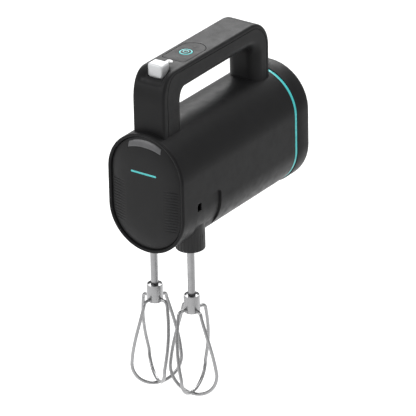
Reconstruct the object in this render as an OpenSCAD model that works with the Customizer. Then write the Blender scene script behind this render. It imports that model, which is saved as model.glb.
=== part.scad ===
// Cordless hand mixer with two counter-rotating wire beaters.
// Origin: centre of the grip bar. +Z up, the front panel faces -Y, the mixer is symmetric about X = 0.
// Inside the modules, at_front() moves to the middle of the front plane: there y runs
// rearwards from the front plane and z is measured from the axis of the body.

/* [Body] */
// Width of the body across X
body_w = 77; // [70:1:90]
// Height of the body
body_h = 109; // [100:1:125]
// Length of the body sleeve, from the front plane to the accent ring
body_len = 168; // [160:1:190]
// Wall of the body sleeve
body_wall = 3; // [2.6:0.2:3.6]
// Width of the accent ring along the body
ring_len = 3; // [2:0.5:5]
// Length of the rear cap
cap_len = 21; // [18:1:30]
// Radius of the rear cap's edge
cap_round = 7; // [3:0.5:10]
// How far the rear cap stands proud of the sleeve
cap_proud = 0.8; // [0:0.1:1.5]
// Depth of the scoops in the lower flanks
scoop_depth = 1.6; // [0.5:0.1:1.8]

/* [Front] */
// Width of the bezel around the front panel
bezel_w = 3.2; // [2.4:0.2:5]
// Depth of the bezel along Y
bezel_depth = 7; // [6:0.5:9]
// Thickness of the bezel's flange, which covers the front edge of the sleeve
bezel_lip = 1.4; // [1:0.1:2]
// How far the middle of the front panel stands ahead of the front plane
panel_proud = 2; // [0.5:0.25:3]
// How far the sides of the front panel lie behind the front plane
panel_set = 2; // [1.5:0.25:4]
// Wall of the front panel
panel_wall = 2; // [1.6:0.2:2.4]
// Number of grip grooves on each flank of the panel
groove_count = 15; // [6:1:18]
// Pitch of the grip grooves
groove_pitch = 2.6; // [2:0.1:3]
// Half width of the indicator lens
lens_half_w = 16.5; // [10:0.5:18]

/* [Handle] */
// Width of the handle
handle_w = 32; // [28:1:38]
// Gap between the body and the underside of the grip bar
grip_clear = 31; // [29:1:45]
// Thickness of the grip bar
bar_t = 21.6; // [20:0.1:26]
// Set-back of the handle from the front plane
handle_set = 7; // [5:0.5:10]
// Length of the handle along Y
handle_len = 156; // [148:1:172]
// Depth of the front leg
front_leg = 27; // [25:1:34]
// Depth of the rear leg
rear_leg = 21; // [20:1:30]
// Outer radius of the front corner
front_corner = 17.5; // [14:0.5:20]
// Outer radius of the rear corner
rear_corner = 25.5; // [18:0.5:27]
// Radius of the corners of the finger opening
window_r = 9; // [5:0.5:12]
// Rounding of the outer edges
edge_r = 2.2; // [1.4:0.1:4]
// Rounding of the edges that the fingers close on
finger_r = 9; // [5:0.5:11]
// Wall of the handle
handle_wall = 2.4; // [2:0.2:3]
// Depth of the outer cover, from the top down to its parting line
cover_depth = 4; // [3.5:0.25:6]

/* [Controls] */
// Distance of the power button behind the front plane
button_y = 63; // [62:0.5:80]
// Radius of the power button
button_r = 4.6; // [4:0.1:6]
// Width of the light ring around the button
light_w = 1.1; // [0.8:0.1:1.6]
// Width of the speed rocker
rocker_w = 23.4; // [20:0.2:24]
// Length of the speed rocker
rocker_len = 40; // [34:1:44]
// Width of the eject lever
lever_w = 15; // [12:0.5:18]
// Travel of the eject lever
eject_travel = 5; // [3:0.5:6]

/* [Beaters] */
// Distance between the two beater axes
spacing = 38.8; // [38:0.2:42]
// Distance of the beater axes behind the front plane
beater_y = 36.2; // [34:0.1:40]
// Diameter of the beater stem
stem_d = 6.6; // [5:0.1:7]
// Largest radius of the wire cage
cage_r = 24; // [20:0.2:25]
// Radius of the wire cage at its shoulder
shoulder_r = 14; // [11:0.5:15]
// Diameter of the beater wire
wire_d = 3; // [2:0.1:3.2]
// Length of the wire cage below the collar
cage_len = 81; // [66:1:90]
// Free length of the stem between the socket and the collar
stem_free = 44.5; // [30:0.5:60]
// Height of the collar
collar_h = 16.5; // [10:0.5:22]
// Outer radius of the collar
collar_r = 7.1; // [6:0.1:7.6]
// Twist of the wires from shoulder to belly, in degrees
wire_twist = 29; // [0:1:35]
// Outer radius of the socket turret
turret_r = 12.8; // [12:0.2:14]
// How far the turret reaches below the body
turret_drop = 4.7; // [2:0.1:8]

/* [Drive] */
// Teeth on each worm wheel
wheel_teeth = 30; // [30:1:30]
// Starts of the worm
worm_starts = 3; // [3:1:3]
// Module of the wheel teeth, measured in the plane of the wheel
tooth_module = 0.8; // [0.7:0.05:0.9]
// Backlash between worm and wheel, measured along the pitch line
backlash = 0.22; // [0.15:0.01:0.3]
// Face width of the worm wheel
wheel_h = 7; // [5:0.5:8]
// Outer diameter of the motor can
motor_d = 36; // [30:1:38]
// Length of the motor can
motor_len = 50; // [44:1:52]
// Diameter of the motor shaft
shaft_d = 3.2; // [2.3:0.1:4]
// Diameter of a battery cell
cell_d = 18.3; // [16:0.1:18.6]
// Length of a battery cell
cell_len = 50; // [40:1:52]

/* [Hidden] */

$fn = 64;
fit_gap = 0.05;      // radial running clearance of shafts and pins
free_gap = 0.4;      // clearance around pieces that move past a wall
seat_gap = 0.1;      // clearance of pieces that are fixed in a seat
parting = 0.2;       // width of the parting line in the handle
far = 400;           // longer than any part of the mixer

rebate = 1.5;        // depth of the step inside the sleeve's front edge that takes the bezel

handle_top = body_h / 2 + grip_clear + bar_t;
bar_z0 = handle_top - bar_t;
front_y = -(handle_set + front_leg + handle_set + handle_len - rear_leg) / 2;
axis_z = -(handle_top - bar_t / 2);
handle_y1 = handle_set + handle_len;
cap_y0 = body_len + ring_len;
body_end = cap_y0 + cap_len;
inner_w = body_w - 2 * body_wall;
inner_h = body_h - 2 * body_wall;
arc_z = (body_h - body_w) / 2;      // height of the centres of the body's round ends

panel_w = body_w - 2 * bezel_w - 2 * seat_gap;
panel_h = body_h - 2 * bezel_w - 2 * seat_gap;
dome_sag = panel_proud + panel_set;
dome_r = (pow(panel_w / 2, 2) + dome_sag * dome_sag) / (2 * dome_sag);
dome_y = dome_r - panel_proud;
lens_top_r = panel_w / 2 - 2.2;     // leaves a thin rim of panel above the lens
lens_low_r = 44;
lens_low_z = arc_z + lens_top_r - 6;

wheel_r = wheel_teeth * tooth_module / 2;
worm_r = spacing / 2 - wheel_r;
tooth_pitch = PI * tooth_module;
worm_lead = worm_starts * tooth_pitch;
worm_len = 16;
addendum = 0.85 * tooth_module;
dedendum = 1.1 * tooth_module;
pressure = 20;

drive_z = -8;                       // height of the motor axis
base_z0 = -31;                      // underside of the gearbox base
base_z1 = -27;
cover_z0 = 10;                      // underside of the gearbox cover
cover_z1 = 14;
gear_y0 = beater_y - 20;
gear_y1 = beater_y + 24;
motor_y0 = gear_y1 + 3;
motor_y1 = motor_y0 + motor_len;
spindle_r = 5;
spindle_bore = stem_d / 2 + 0.1;
turret_z0 = -body_h / 2 - turret_drop;
spindle_z0 = turret_z0 + 1;
spindle_z1 = cover_z1 + 2;
bush_r = spindle_r + 1.8;
stem_top = -20;
collar_z1 = turret_z0 - stem_free;
collar_z0 = collar_z1 - collar_h;
cage_z0 = collar_z0 - cage_len;
link_z = collar_z0 + 3;             // height at which the wires leave the collar
belly_z = cage_z0 + cage_r;
lug_r = stem_d / 2 + 1.2;

plate_z0 = 22;
plate_z1 = 25;
eject_y = 24;                       // axis of the ejector rod
rod_r = 2.5;
lever_y0 = handle_set + front_corner * 0.61;
lever_y1 = lever_y0 + 11.5;
lever_z0 = handle_top - 6;
lever_z1 = handle_top + 5;
rocker_y0 = button_y - rocker_len / 2 + 0.5;
rocker_t = 2.2;
pin_r = 1.2;                        // radius of the rocker's pins
rocker_pin_z = handle_top - rocker_t - 1.4;
lug_x0 = rocker_w / 2 + 2 * free_gap;
lug_x1 = handle_w / 2 - handle_wall - seat_gap;
button_travel = 0.8;
ring_r = button_r + light_w + seat_gap;
board_z = bar_z0 + 8;
cell_y0 = body_len + ring_len - cell_len - 1.8;
cell_pitch = cell_d + 1.4;

black = [0.09, 0.09, 0.1];
dark = [0.16, 0.16, 0.17];
teal = [0.1, 0.72, 0.75];
silver = [0.82, 0.83, 0.85];
steel = [0.7, 0.71, 0.73];
brass = [0.8, 0.65, 0.3];
board_green = [0.1, 0.35, 0.2];

// ---------------------------------------------------------------- helpers

module at_front() { translate([0, front_y, axis_z]) children(); }

// A flat outline in X and Z, extruded along Y
module prism_y(y0, y1) {
    translate([0, y1, 0]) rotate([90, 0, 0]) linear_extrude(y1 - y0) children();
}

// A flat outline in Y and Z, extruded along X
module prism_x(x0, x1) {
    translate([x0, 0, 0]) rotate([90, 0, 90]) linear_extrude(x1 - x0) children();
}

// An upright outline with round ends
module stadium(w, h) {
    square([w, h - w], center = true);
    for (s = [-1, 1]) translate([0, s * (h - w) / 2]) circle(d = w);
}

// A rectangle centred on x = 0, with its own rounding on the low and the high edge
module soft_rect(w, y0, y1, r0, r1) {
    translate([-w / 2, y0 + r0]) square([w, y1 - r1 - y0 - r0]);
    translate([r0 - w / 2, y0]) square([w - 2 * r0, r0 + 0.01]);
    translate([r1 - w / 2, y1 - r1 - 0.01]) square([w - 2 * r1, r1 + 0.01]);
    for (s = [-1, 1]) {
        translate([s * (w / 2 - r0), y0 + r0]) circle(r = r0);
        translate([s * (w / 2 - r1), y1 - r1]) circle(r = r1);
    }
}

// Half outline of a block of length len, with a rounded edge of radius e at its far end
module edge_profile(r, len, e) {
    square([r, len - e]);
    square([r - e, len]);
    translate([r - e, len - e]) circle(r = e);
}

// A stadium-shaped block along +Y whose far edge is rounded
module pill(w, h, len, e) {
    for (s = [-1, 1]) translate([0, 0, s * (h - w) / 2]) rotate([-90, 0, 0])
        rotate_extrude() intersection() {
            edge_profile(w / 2, len, e);
            square([w, len]);
        }
    translate([0, 0, -(h - w) / 2]) linear_extrude(h - w) intersection() {
        for (s = [0, 1]) mirror([s, 0]) edge_profile(w / 2, len, e);
        translate([-w / 2, 0]) square([w, len]);
    }
}

module rod_z(x, y, z0, z1, r) { translate([x, y, z0]) cylinder(r = r, h = z1 - z0); }
module rod_y(x, z, y0, y1, r) { translate([x, y0, z]) rotate([-90, 0, 0]) cylinder(r = r, h = y1 - y0); }
module block(x0, x1, y0, y1, z0, z1) { translate([x0, y0, z0]) cube([x1 - x0, y1 - y0, z1 - z0]); }
module both_sides() { for (s = [0, 1]) mirror([s, 0, 0]) children(); }

// Frame of a swept tube: unit tangent, side and lift vectors at a point of a path
function unit(v) = v / norm(v);
function tangent(p, i) = unit(p[min(i + 1, len(p) - 1)] - p[max(i - 1, 0)]);
function side(t, up) = unit(cross(t, up));

// A round tube of diameter d along the points p, as one closed surface
module tube(p, d, up = [0, 0, 1], sides = 8) {
    n = len(p);
    rings = [for (i = [0:n - 1]) let (t = tangent(p, i), a = side(t, up), b = cross(a, t))
        for (k = [0:sides - 1]) p[i] + d / 2 * (cos(360 * k / sides) * a + sin(360 * k / sides) * b)];
    walls = [for (i = [0:n - 2]) for (k = [0:sides - 1])
        let (k2 = (k + 1) % sides, a = i * sides, b = a + sides)
        each [[a + k, a + k2, b + k2], [a + k, b + k2, b + k]]];
    ends = [[for (k = [sides - 1:-1:0]) k], [for (k = [0:sides - 1]) (n - 1) * sides + k]];
    polyhedron(rings, concat(walls, ends));
}

// ---------------------------------------------------------------- handle

// The handle as a solid, with every surface moved inwards by g
module handle_solid(g = 0) {
    w = handle_w - 2 * g;
    y0 = handle_set;
    y1 = handle_y1;
    outer = max(edge_r - g, 0.5);
    inner = max(finger_r - g, 0.5);
    prism_y(y0 + front_corner, y1 - rear_corner)
        soft_rect(w, bar_z0 + g, handle_top - g, inner, outer);
    linear_extrude(handle_top - front_corner)
        soft_rect(w, y0 + g, y0 + front_leg - g, outer, min(inner, 6));
    linear_extrude(handle_top - rear_corner)
        soft_rect(w, y1 - rear_leg + g, y1 - g, inner, outer);
    translate([0, y0 + front_corner, handle_top - front_corner])
        mirror([0, 1, 0]) corner_turn(w, front_corner - g, outer);
    translate([0, y1 - rear_corner, handle_top - rear_corner])
        corner_turn(w, rear_corner - g, outer);
    translate([0, y0 + front_leg + window_r, bar_z0 - window_r])
        mirror([0, 1, 0]) window_turn(w, g, min(inner, 6));
    translate([0, y1 - rear_leg - window_r, bar_z0 - window_r]) window_turn(w, g, inner);
    block(-w / 2 + outer, w / 2 - outer, y0 + front_corner - 0.01, y0 + front_leg,
        handle_top - front_corner - 1, bar_z0 + g + finger_r);
}

// A quarter turn of the outer corner, between +Z and +Y
module corner_turn(w, r, e) {
    rotate([0, -90, 0]) rotate_extrude(angle = 90) intersection() {
        rotate(-90) soft_rect(w, 0 - 2 * e, r, e, e);
        translate([0, -w]) square([r, 2 * w]);
    }
}

// A quarter turn of the finger opening's corner, between +Z and +Y
module window_turn(w, g, e) {
    rotate([0, -90, 0]) rotate_extrude(angle = 90)
        rotate(-90) soft_rect(w, window_r + g, window_r + g + 2 * e + 1, e, e);
}

// What lies under the parting line of the handle, in Y and Z
module under_parting(g = 0) {
    d = cover_depth + g;
    y0 = handle_set + d + 2.6;
    y1 = handle_y1 - d;
    z1 = handle_top - d;
    r0 = front_corner - d;
    r1 = rear_corner - d;
    translate([y0, -far]) square([y1 - y0, far + z1 - max(r0, r1)]);
    translate([y0, -far]) square([y1 - r1 - y0, far + z1 - r0]);
    translate([y0 + r0, 0]) square([y1 - r1 - y0 - r0, z1]);
    translate([y0 + r0, z1 - r0]) circle(r = r0);
    translate([y1 - r1, z1 - r1]) circle(r = r1);
}

module handle_skin() {
    difference() {
        handle_solid();
        handle_solid(handle_wall);
        prism_y(-far, far) stadium(body_w, body_h);
    }
}

// Plan outline of the speed rocker, grown by g
module rocker_plan(g = 0) {
    r = rocker_w / 2;
    y1 = rocker_y0 + rocker_len;
    translate([0, y1 - r]) circle(r = r + g);
    translate([-r - g, rocker_y0 + 3]) square([2 * (r + g), y1 - r - rocker_y0 - 3]);
    translate([0, rocker_y0 + 4]) soft_rect(2 * (r + g), -4 - g, 4, 3, 0.5);
}

// Front view of the eject lever, grown by g
module lever_front(g = 0) {
    soft_rect(lever_w + 2 * g, lever_z0 - g, lever_z1 + 40, 3 + g, 1);
}

module handle_cover() {
    color(black) at_front() difference() {
        union() {
            difference() {
                handle_skin();
                prism_x(-far, far) under_parting();
            }
            both_sides() block(lug_x0, lug_x1, button_y - 2.5, button_y + 2.5,
                rocker_pin_z - 2.5, handle_top - 1);
        }
        translate([0, 0, handle_top - 4]) linear_extrude(far) rocker_plan(free_gap);
        prism_y(-far, lever_y1 + free_gap) lever_front(free_gap);
        rocker_pin_bore(seat_gap / 2);
    }
}

module handle_shell() {
    color(black) at_front() difference() {
        union() {
            intersection() {
                handle_skin();
                prism_x(-far, far) under_parting(parting);
            }
            for (y = [button_y - 22, button_y + 26]) screw_post(y);
        }
        for (y = [button_y - 22, button_y + 26]) rod_z(0, y, bar_z0 + 1, board_z + 1, 0.9);
    }
}

module screw_post(y) { rod_z(0, y, bar_z0 + 1.5, board_z - seat_gap, 3); }

module handle_screws() {
    color(steel) at_front() for (y = [button_y - 22, button_y + 26]) {
        rod_z(0, y, bar_z0 + 3, board_z + 1.8, 0.9);
        rod_z(0, y, board_z + 1.6 + seat_gap, board_z + 3, 2);
    }
}

// ---------------------------------------------------------------- body

module body_shell() {
    color(black) at_front() difference() {
        prism_y(bezel_lip, body_len) difference() {
            stadium(body_w, body_h);
            stadium(inner_w, inner_h);
        }
        prism_y(0, bezel_depth) stadium(body_w - 2 * rebate, body_h - 2 * rebate);
        both_sides() {
            rod_z(spacing / 2, beater_y, turret_z0, base_z0, turret_r + seat_gap);
            side_scoop();
        }
        rod_z(0, eject_y, 0, far, rod_r + 1);
        rod_z(0, handle_y1 - rear_leg / 2, 0, far, 4);
    }
}

// A shallow scoop in the lower flank, with an air slot at its front
module side_scoop() {
    z1 = -7;
    z0 = -37;
    difference() {
        block(body_w / 4, body_w, beater_y - 14.7, beater_y + 19.8, z0, z1);
        prism_y(-far, far) stadium(body_w - 2 * scoop_depth, body_h - 2 * scoop_depth);
    }
    block(body_w / 4, body_w, beater_y - 14.7, beater_y - 7, z1 - 10, z1 - 3);
}

module front_bezel() {
    color(dark) at_front() difference() {
        union() {
            translate([0, bezel_lip - seat_gap, 0]) mirror([0, 1, 0])
                pill(body_w, body_h, bezel_lip - seat_gap, 0.9);
            prism_y(bezel_lip / 2, bezel_depth - seat_gap)
                stadium(body_w - 2 * (rebate + seat_gap), body_h - 2 * (rebate + seat_gap));
        }
        prism_y(-1, far) stadium(panel_w + 2 * seat_gap, panel_h + 2 * seat_gap);
    }
}

// The front panel's solid, from its domed face back to y1, moved inwards by g
module panel_solid(g, y1) {
    intersection() {
        prism_y(-far, y1) stadium(panel_w - 2 * g, panel_h - 2 * g);
        translate([0, dome_y, -far]) cylinder(r = dome_r - g, h = 2 * far);
    }
}

module lens_outline(g = 0) {
    intersection() {
        translate([0, arc_z]) circle(r = lens_top_r + g);
        translate([-lens_half_w - g, 0]) square([2 * (lens_half_w + g), far]);
        difference() {
            translate([-far, 0]) square(2 * far);
            translate([0, lens_low_z - lens_low_r]) circle(r = lens_low_r - g);
        }
    }
}

module panel_grooves() {
    difference() {
        for (i = [0:groove_count - 1], s = [-1, 1])
            translate([s * panel_w / 2, 0, 8 - i * groove_pitch]) cube([28, 60, 1], center = true);
        translate([0, dome_y, -far]) cylinder(r = dome_r - 0.6, h = 2 * far);
    }
}

module front_panel() {
    color(black) at_front() difference() {
        panel_solid(0, bezel_depth);
        panel_solid(panel_wall, bezel_depth + 1);
        prism_y(-far, far) lens_outline(seat_gap);
        prism_y(-far, far) accent_outline(seat_gap);
        panel_grooves();
    }
}

module indicator_lens() {
    color([0.45, 0.46, 0.48]) at_front() intersection() {
        difference() {
            panel_solid(0.2, bezel_depth);
            panel_solid(panel_wall, bezel_depth + 1);
        }
        prism_y(-far, far) lens_outline();
    }
}

module accent_outline(g = 0) {
    translate([0, 19.5]) rotate(90) stadium(1.8 + 2 * g, 26 + 2 * g);
}

module panel_accent() {
    color(teal) at_front() intersection() {
        difference() {
            panel_solid(0, bezel_depth);
            panel_solid(panel_wall, bezel_depth + 1);
        }
        prism_y(-far, far) accent_outline();
    }
}

module indicator_board() {
    color(board_green) at_front() {
        prism_y(bezel_depth + 1, bezel_depth + 2.6) intersection() {
            stadium(inner_w - 2, inner_h - 2);
            translate([-20, lens_low_z - 14]) square([40, 14 + 3]);
        }
        for (i = [-2:2]) block(i * 6 - 1.4, i * 6 + 1.4, bezel_depth - 0.4, bezel_depth + 1,
            lens_low_z - 3, lens_low_z);
    }
}

module accent_ring() {
    color(teal) at_front() prism_y(body_len, cap_y0) difference() {
        stadium(body_w, body_h);
        stadium(inner_w, inner_h);
    }
}

module rear_cap() {
    w = body_w + 2 * cap_proud;
    h = body_h + 2 * cap_proud;
    color(black) at_front() difference() {
        translate([0, cap_y0, 0]) pill(w, h, cap_len, cap_round);
        translate([0, cap_y0 - 0.01, 0]) pill(inner_w, inner_h, cap_len - body_wall,
            max(cap_round - body_wall, 1));
        for (s = [-1, 1]) {
            rod_y(0, s * 36, 0, far, 1.7);
            rod_y(0, s * 36, body_end - 2, far, 3.3);
        }
        prism_y(0, far) translate([0, -22]) rotate(90) stadium(4.2, 10.4);
    }
}

module cap_screws() {
    color(steel) at_front() for (s = [-1, 1]) difference() {
        union() {
            rod_y(0, s * 36, body_end - 16, body_end - 1, 1.5);
            rod_y(0, s * 36, body_end - 2 + seat_gap, body_end - 0.4, 2.9);
        }
        translate([0, body_end, s * 36]) for (a = [0, 90])
            rotate([0, a, 0]) cube([0.8, 2, 3.4], center = true);
    }
}

module charging_board() {
    color(board_green) at_front() difference() {
        block(-16, 16, body_end - 11, body_end - 9.4, -32, 0);
        rod_y(0, -36, 0, far, 3);
    }
}

module charging_socket() {
    color(steel) at_front() prism_y(body_end - 9.4, body_end - 0.8) translate([0, -22]) rotate(90)
        difference() {
            stadium(3.8, 10);
            stadium(3, 9.2);
        }
    color(dark) at_front() block(-4.2, 4.2, body_end - 9.4, body_end - 3, -22.5, -21.5);
    color(steel) at_front() block(-4.9, 4.9, body_end - 9.4, body_end - 8.4, -23.6, -20.4);
}

// ---------------------------------------------------------------- gearbox

module turret(x) {
    difference() {
        rod_z(x, beater_y, turret_z0, base_z0 - 0.2, turret_r);
        rod_z(x, beater_y, turret_z0 + 3, base_z0, turret_r - 2.4);
        rod_z(x, beater_y, turret_z0 - 1, turret_z0 + 4, spindle_r + free_gap);
        for (a = [0:15:345]) translate([x, beater_y, turret_z0 - 1]) rotate(a)
            translate([turret_r + 0.25, 0, 0]) cylinder(r = 0.6, h = 18, $fn = 16);
    }
}

module left_turret() { color(dark) at_front() turret(-spacing / 2); }
module right_turret() { color(dark) at_front() turret(spacing / 2); }

module gearbox_base() {
    color([0.55, 0.56, 0.58]) at_front() difference() {
        union() {
            block(-30, 30, gear_y0, gear_y1, base_z0, base_z1);
            for (s = [-1, 1]) rod_z(s * spacing / 2, beater_y, base_z0, base_z1 + 3, bush_r + 2);
            block(-7, 7, gear_y0, gear_y0 + 5, base_z1, drive_z + 6);
            block(-20, 20, gear_y1 - 3, gear_y1, base_z1 - 1, cover_z0);
            for (x = [-26, 26], y = [gear_y0 + 4, gear_y1 - 4]) rod_z(x, y, base_z1, cover_z0, 3.2);
        }
        for (s = [-1, 1]) rod_z(s * spacing / 2, beater_y, -far, far, bush_r);
        rod_y(0, drive_z, -far, gear_y0 + 6, 3.2);
        rod_y(0, drive_z, gear_y1 - 6, far, worm_r + addendum + 1);
        for (x = [-26, 26], y = [gear_y0 + 4, gear_y1 - 4]) rod_z(x, y, cover_z0 - 12, far, 1.3);
    }
}

module gearbox_cover() {
    color([0.55, 0.56, 0.58]) at_front() difference() {
        union() {
            block(-30, 30, gear_y0, gear_y1, cover_z0, cover_z1);
            for (s = [-1, 1]) rod_z(s * spacing / 2, beater_y, cover_z0 - 2, cover_z1, bush_r + 2);
        }
        for (s = [-1, 1]) rod_z(s * spacing / 2, beater_y, -far, far, bush_r);
        rod_z(0, eject_y, -far, far, rod_r + fit_gap);
        for (x = [-26, 26], y = [gear_y0 + 4, gear_y1 - 4]) rod_z(x, y, -far, far, 1.7);
    }
}

module gearbox_screws() {
    color(steel) at_front() for (x = [-26, 26], y = [gear_y0 + 4, gear_y1 - 4]) {
        rod_z(x, y, cover_z0 - 10, cover_z1 + 1, 1.3);
        rod_z(x, y, cover_z1, cover_z1 + 2, 2.8);
    }
}

module bush_pair(z0, z1) {
    color(brass) at_front() for (s = [-1, 1]) difference() {
        rod_z(s * spacing / 2, beater_y, z0, z1, bush_r);
        rod_z(s * spacing / 2, beater_y, -far, far, spindle_r + fit_gap);
    }
}

module lower_bushes() { bush_pair(base_z0, base_z1 + 3); }
module upper_bushes() { bush_pair(cover_z0 - 2, cover_z1); }

module worm_bush() {
    color(brass) at_front() difference() {
        rod_y(0, drive_z, gear_y0, gear_y0 + 5, 3.2);
        rod_y(0, drive_z, -far, far, shaft_d / 2 + fit_gap);
    }
}

// ---------------------------------------------------------------- motor and drive

module motor_can() {
    color(steel) at_front() difference() {
        rod_y(0, drive_z, motor_y0, motor_y1 - 3, motor_d / 2);
        rod_y(0, drive_z, motor_y0 + 1.5, far, motor_d / 2 - 1.4);
        rod_y(0, drive_z, 0, far, 4);
    }
    color(steel) at_front() difference() {
        rod_y(0, drive_z, motor_y0 - 3, motor_y0, 8.6);
        rod_y(0, drive_z, 0, far, 4);
        block(-far, far, 0, far, cover_z0 - 2, far);
    }
}

module motor_magnets() {
    r = motor_d / 2 - 1.4;
    color(dark) at_front() difference() {
        rod_y(0, drive_z, motor_y0 + 8, motor_y1 - 16, r);
        rod_y(0, drive_z, 0, far, r - 4);
        block(-4, 4, 0, far, -far, far);
    }
}

module motor_end_cap() {
    color(dark) at_front() difference() {
        union() {
            rod_y(0, drive_z, motor_y1 - 3, motor_y1, motor_d / 2);
            rod_y(0, drive_z, motor_y1, motor_y1 + 2, 6);
        }
        rod_y(0, drive_z, 0, far, 4);
    }
}

module motor_bushes() {
    color(brass) at_front() difference() {
        union() {
            rod_y(0, drive_z, motor_y0 - 3, motor_y0 + 1.5, 4);
            rod_y(0, drive_z, motor_y1 - 3, motor_y1 + 2, 4);
        }
        rod_y(0, drive_z, 0, far, shaft_d / 2 + fit_gap);
    }
}

module motor_shaft() {
    color(steel) at_front() rod_y(0, drive_z, gear_y0 + 0.5, motor_y1 + 1.5, shaft_d / 2);
}

module rotor_core() {
    r = motor_d / 2 - 6.2;
    color([0.7, 0.4, 0.2]) at_front() difference() {
        rod_y(0, drive_z, motor_y0 + 9, motor_y1 - 17, r);
        rod_y(0, drive_z, 0, far, shaft_d / 2);
        for (a = [0:60:300]) translate([0, 0, drive_z]) rotate([0, a, 0]) {
            block(-0.8, 0.8, 0, far, r - 2, r + 1);
            rod_y(0, r - 3.4, 0, far, 2);
        }
    }
}

module commutator() {
    color(brass) at_front() difference() {
        rod_y(0, drive_z, motor_y1 - 14, motor_y1 - 5, 4.6);
        rod_y(0, drive_z, 0, far, shaft_d / 2);
        for (a = [0:60:300]) translate([0, 0, drive_z]) rotate([0, a, 0])
            block(-0.3, 0.3, 0, far, 3.8, 6);
    }
}

// Height of a worm thread's flank above the pitch line, at the axial distance u from its middle
function rack_height(u) =
    let (half = tooth_pitch / 4 - backlash / 4)
    min(addendum, max(-dedendum, (half - abs(u)) / tan(pressure)));

// Cross section of the worm: each thread has a crest, two flanks and a root
module worm_outline() {
    crest = tooth_pitch / 4 - backlash / 4 - addendum * tan(pressure);
    foot = tooth_pitch / 4 - backlash / 4 + dedendum * tan(pressure);
    steps = [-tooth_pitch / 2, -foot, -(foot + crest) / 2, -crest, 0, crest, (foot + crest) / 2, foot];
    polygon([for (i = [0:worm_starts - 1], u = steps)
        let (a = 360 * (i / worm_starts + u / worm_lead)) (worm_r + rack_height(u)) * [cos(a), sin(a)]]);
}

module worm() {
    turn = 360 * worm_len / worm_lead;
    color(silver) at_front() translate([0, beater_y - worm_len / 2, drive_z]) difference() {
        rotate([-90, 0, 0]) rotate(-turn / 2)
            linear_extrude(worm_len, twist = -turn, slices = 84) worm_outline();
        translate([0, -1, 0]) rotate([-90, 0, 0]) cylinder(r = shaft_d / 2, h = worm_len + 2);
    }
}

// One flank of a wheel tooth: involute points from the base circle out to the tip
function inv_angle(r, base) = let (t = sqrt(max(r * r / (base * base) - 1, 0))) t * 180 / PI - atan(t);
function flank(r, half) =
    let (base = wheel_r * cos(pressure))
    half + inv_angle(wheel_r, base) - inv_angle(max(r, base), base);

module wheel_outline() {
    tip = wheel_r + addendum;
    root = wheel_r - dedendum;
    half = 360 / wheel_teeth / 4 - backlash / 4 / wheel_r * 180 / PI;
    radii = [for (k = [0:4]) root + (tip - root) * k / 4];
    polygon([for (i = [0:wheel_teeth - 1]) let (c = 360 / wheel_teeth * i) each concat(
        [for (r = radii) r * [cos(c - flank(r, half)), sin(c - flank(r, half))]],
        [for (k = [4:-1:0]) radii[k] * [cos(c + flank(radii[k], half)), sin(c + flank(radii[k], half))]]
    )]);
}

// A wheel with one tooth at the angle a, at the middle of its height
module worm_wheel(x, a) {
    twist = wheel_h * 360 / (2 * PI * worm_r) * worm_lead / (2 * PI * wheel_r);
    color([0.92, 0.92, 0.88]) at_front() translate([x, beater_y, drive_z - wheel_h / 2]) difference() {
        rotate(a - twist / 2) linear_extrude(wheel_h, twist = -twist, slices = 4) wheel_outline();
        translate([0, 0, -1]) cylinder(r = spindle_r, h = wheel_h + 2);
    }
}

// The worm turns a thread to the right wheel and a gap to the left one
module left_worm_wheel() { worm_wheel(-spacing / 2, 0); }
module right_worm_wheel() { worm_wheel(spacing / 2, 180 - 180 / wheel_teeth); }

module spindle(x) {
    color(steel) at_front() difference() {
        union() {
            rod_z(x, beater_y, spindle_z0, spindle_z1, spindle_r);
            rod_z(x, beater_y, base_z1 + 3 + seat_gap, drive_z - wheel_h / 2, spindle_r + 2);
        }
        rod_z(x, beater_y, -far, far, spindle_bore);
        for (a = [0, 90]) translate([x, beater_y, spindle_z0 + 5]) rotate(a)
            cube([2 * lug_r + 0.6, 1.6, 24], center = true);
    }
}

module left_spindle() { spindle(-spacing / 2); }
module right_spindle() { spindle(spacing / 2); }

// ---------------------------------------------------------------- beaters

module stem(x) {
    lug_z = spindle_z0 + 8;
    color(steel) at_front() {
        difference() {
            rod_z(x, beater_y, collar_z0 + 1, stem_top, stem_d / 2);
            translate([x, beater_y, stem_top - 5]) rotate_extrude() translate([stem_d / 2 + 0.5, 0]) circle(r = 1);
        }
        translate([x, beater_y, lug_z]) cube([2 * lug_r, 1.2, 6], center = true);
    }
}

module left_stem() { stem(-spacing / 2); }
module right_stem() { stem(spacing / 2); }

module collar(x) {
    color(steel) at_front() difference() {
        rod_z(x, beater_y, collar_z0, collar_z1, collar_r);
        rod_z(x, beater_y, collar_z0 + 8, far, collar_r - 0.9);
        rod_z(x, beater_y, collar_z0 + 1, far, stem_d / 2);
    }
}

module left_collar() { collar(-spacing / 2); }
module right_collar() { collar(spacing / 2); }

// Half of one wire loop in its own plane: distance from the axis and height.
// It leaves the collar, bends down at the shoulder, widens to the belly and closes at the bottom.
function half_loop(low) = concat(
    [[collar_r, link_z]],
    [for (a = [90:-22.5:0]) [shoulder_r - 4 + 4 * cos(a), link_z - 4 + 4 * sin(a)]],
    [for (k = [1:9]) let (t = k / 10, z0 = link_z - 4)
        [shoulder_r + (cage_r - wire_d / 2 - shoulder_r) * sin(90 * t), z0 + (belly_z - z0) * t]],
    [for (a = [0:12:84]) [(cage_r - wire_d / 2) * cos(a), belly_z - (belly_z - low) * sin(a)]]
);

// The angle that a wire has turned through by the height z
function wire_turn(z) =
    let (z0 = link_z - 4, t = min(max((z0 - z) / (z0 - belly_z), 0), 1)) wire_twist * t;

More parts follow.
